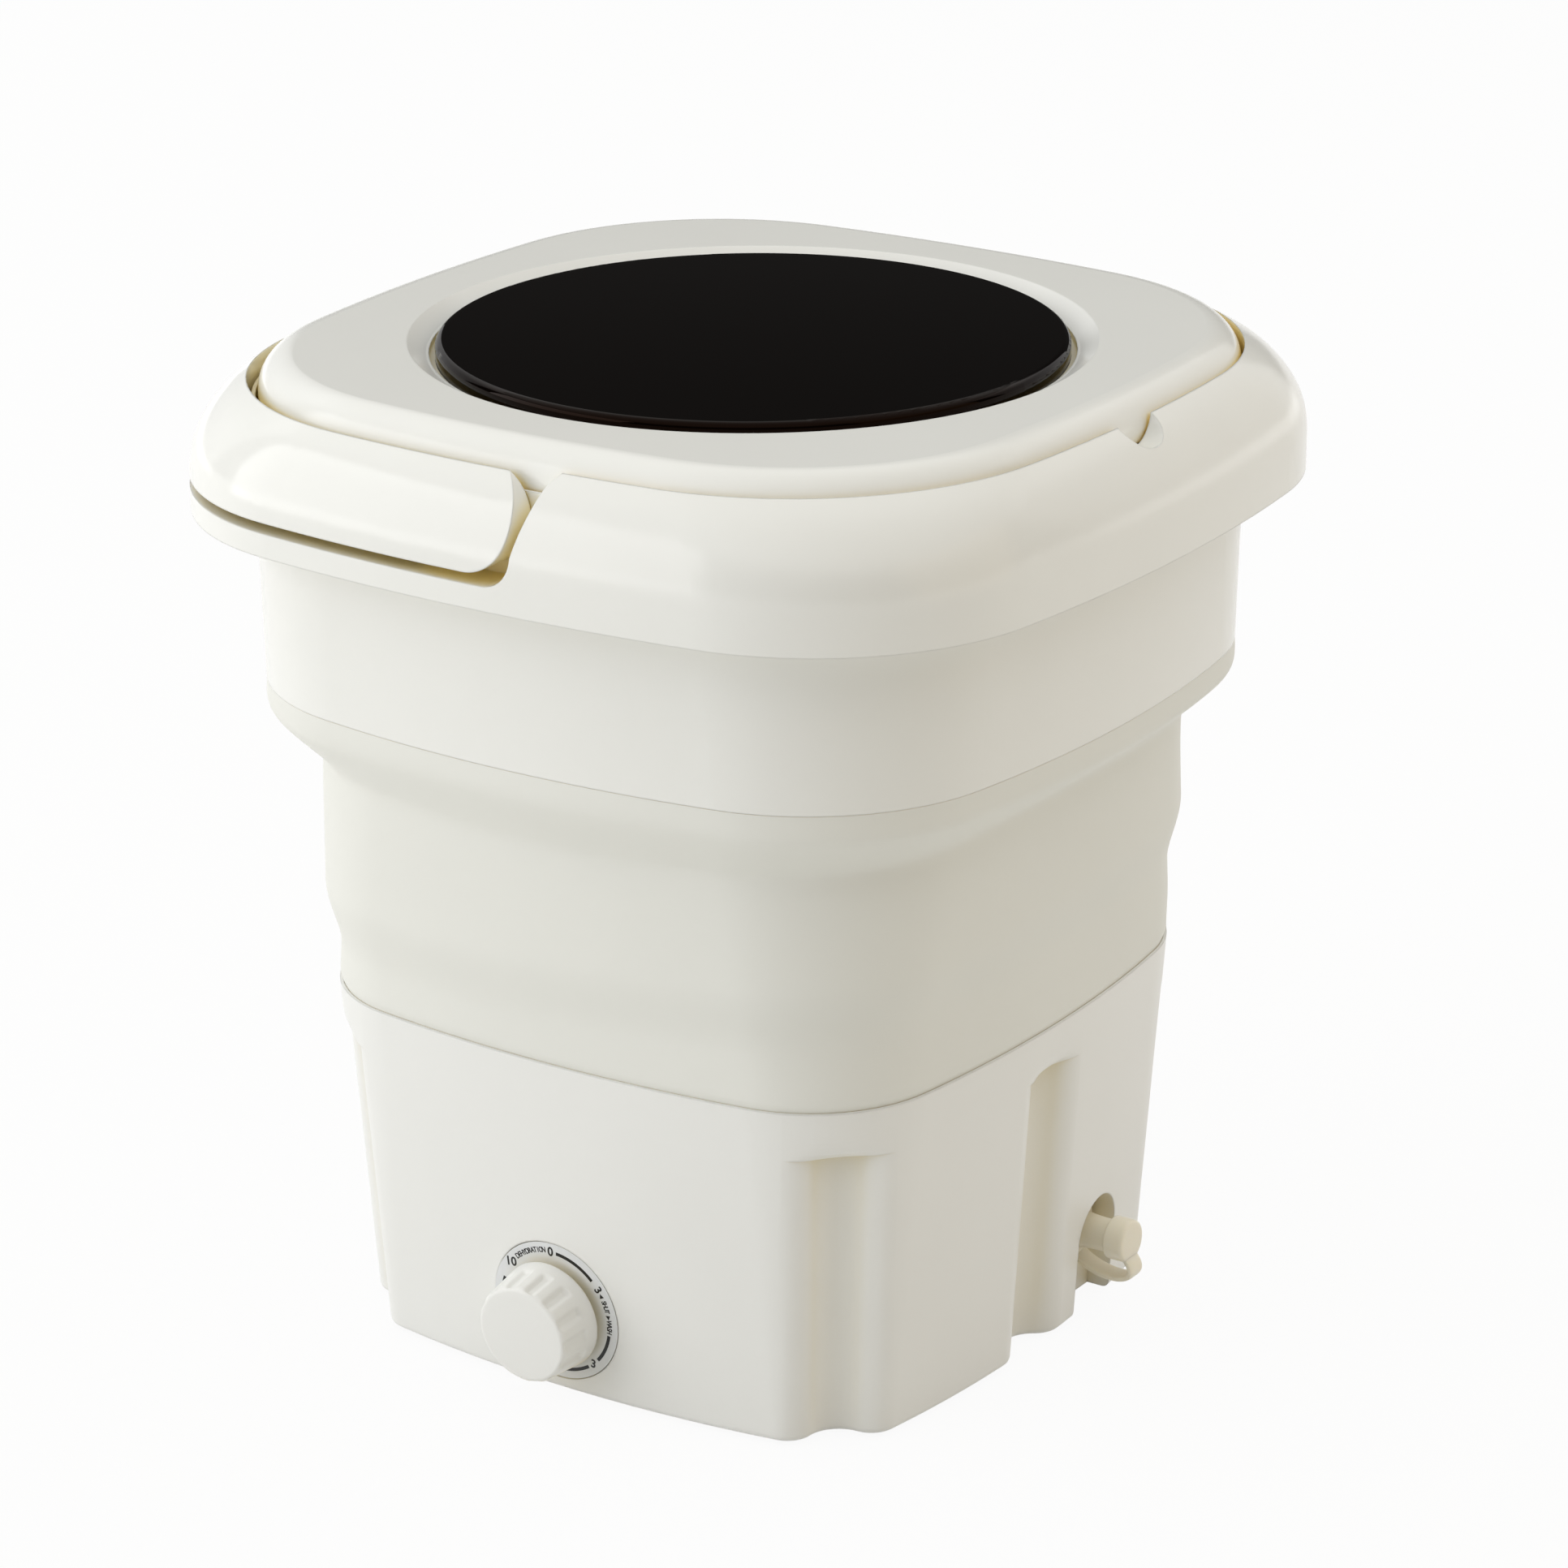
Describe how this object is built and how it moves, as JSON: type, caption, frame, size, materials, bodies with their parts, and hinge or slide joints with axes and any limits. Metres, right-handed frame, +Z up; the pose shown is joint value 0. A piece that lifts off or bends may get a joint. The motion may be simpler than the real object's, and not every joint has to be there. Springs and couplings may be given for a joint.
{
  "type": "folding washing machine",
  "caption": "Portable top-loading washing machine with a rigid base, a soft folding tub wall, a lift-off lid with a round dark window and a swinging carry handle.",
  "frame": {"origin": "on the floor, under the centre of the machine", "axes": "+Z up, -Y towards the side with the timer knob, +X towards the side with the drain, -X towards the grip of the carry handle"},
  "size_m": [0.36, 0.36, 0.3828],
  "materials": {
    "ivory_gloss": "glossy moulded ABS",
    "ivory_satin": "satin moulded ABS",
    "soft_ivory": "matte soft TPE",
    "smoked_window": "polished dark smoked plastic",
    "tub_white": "moulded polypropylene",
    "clear_drain": "translucent soft plastic",
    "dial_silver": "printed satin plate",
    "rubber_grey": "matte rubber",
    "bright_steel": "plain machined steel",
    "motor_steel": "zinc-grey pressed steel",
    "copper_wire": "enamelled copper",
    "board_green": "glass-epoxy board",
    "part_black": "black moulded plastic",
    "timer_case": "moulded timer case"
  },
  "bodies": {
    "base": {"base_shell": "ivory_satin", "bottom_cover": "ivory_satin", "rubber_feet": "rubber_grey", "cover_screws": "bright_steel", "tub_floor": "tub_white", "tub_screws": "bright_steel", "bellows_wall": "soft_ivory", "dial_plate": "dial_silver", "timer_body": "timer_case", "timer_nut": "bright_steel", "drain_spout": "clear_drain", "drain_hose": "rubber_grey", "motor_housing": "motor_steel", "motor_plate": "motor_steel", "motor_screws": "bright_steel", "mount_screws": "bright_steel", "stator_core": "motor_steel", "stator_windings": "copper_wire", "lower_bearing": "bright_steel", "upper_bearing": "bright_steel", "bearing_housing": "tub_white", "housing_screws": "bright_steel", "shaft_seal": "rubber_grey", "control_board": "board_green", "board_components": "part_black", "board_screws": "bright_steel", "wiring_leads": "part_black", "power_inlet": "part_black", "inlet_nut": "bright_steel"},
    "upper": {"tub_band": "ivory_gloss", "rim_collar": "ivory_gloss", "collar_screws": "bright_steel", "handle_pivots": "bright_steel"},
    "lid": {"lid_frame": "ivory_gloss", "lid_window": "smoked_window", "window_gasket": "rubber_grey", "window_retainer": "tub_white", "window_screws": "bright_steel", "lid_seal": "rubber_grey"},
    "handle": {"carry_handle": "ivory_gloss"},
    "knob": {"timer_knob": "ivory_satin", "timer_shaft": "bright_steel"},
    "spinner": {"drive_shaft": "bright_steel", "rotor_core": "motor_steel", "pulsator": "tub_white", "pulsator_screw": "bright_steel", "spin_basket": "tub_white"},
    "drain_plug": {"drain_cap": "clear_drain"}
  },
  "joints": [
    {"name": "fold", "type": "slide", "parent": "base", "child": "upper", "axis": [0, 0, 1], "range_m": [-0.09, 0], "deforming": ["bellows_wall"]},
    {"name": "lid_lift", "type": "slide", "parent": "upper", "child": "lid", "axis": [0, 0, 1], "range_m": [0, 0.025]},
    {"name": "handle_swing", "type": "hinge", "parent": "upper", "child": "handle", "pos_m": [0, 0, 0.3565], "axis": [0, 1, 0], "range_deg": [0, 90]},
    {"name": "timer_turn", "type": "hinge", "parent": "base", "child": "knob", "pos_m": [-0.005, -0.12737, 0.0345], "axis": [0, 0.9976, 0.0692], "range_deg": [-90, 210]},
    {"name": "wash_spin", "type": "hinge", "parent": "base", "child": "spinner", "pos_m": [0, 0, 0.1], "axis": [0, 0, 1], "continuous": true},
    {"name": "drain_pull", "type": "slide", "parent": "base", "child": "drain_plug", "axis": [1, 0, 0], "range_m": [0, 0.02]}
  ]
}
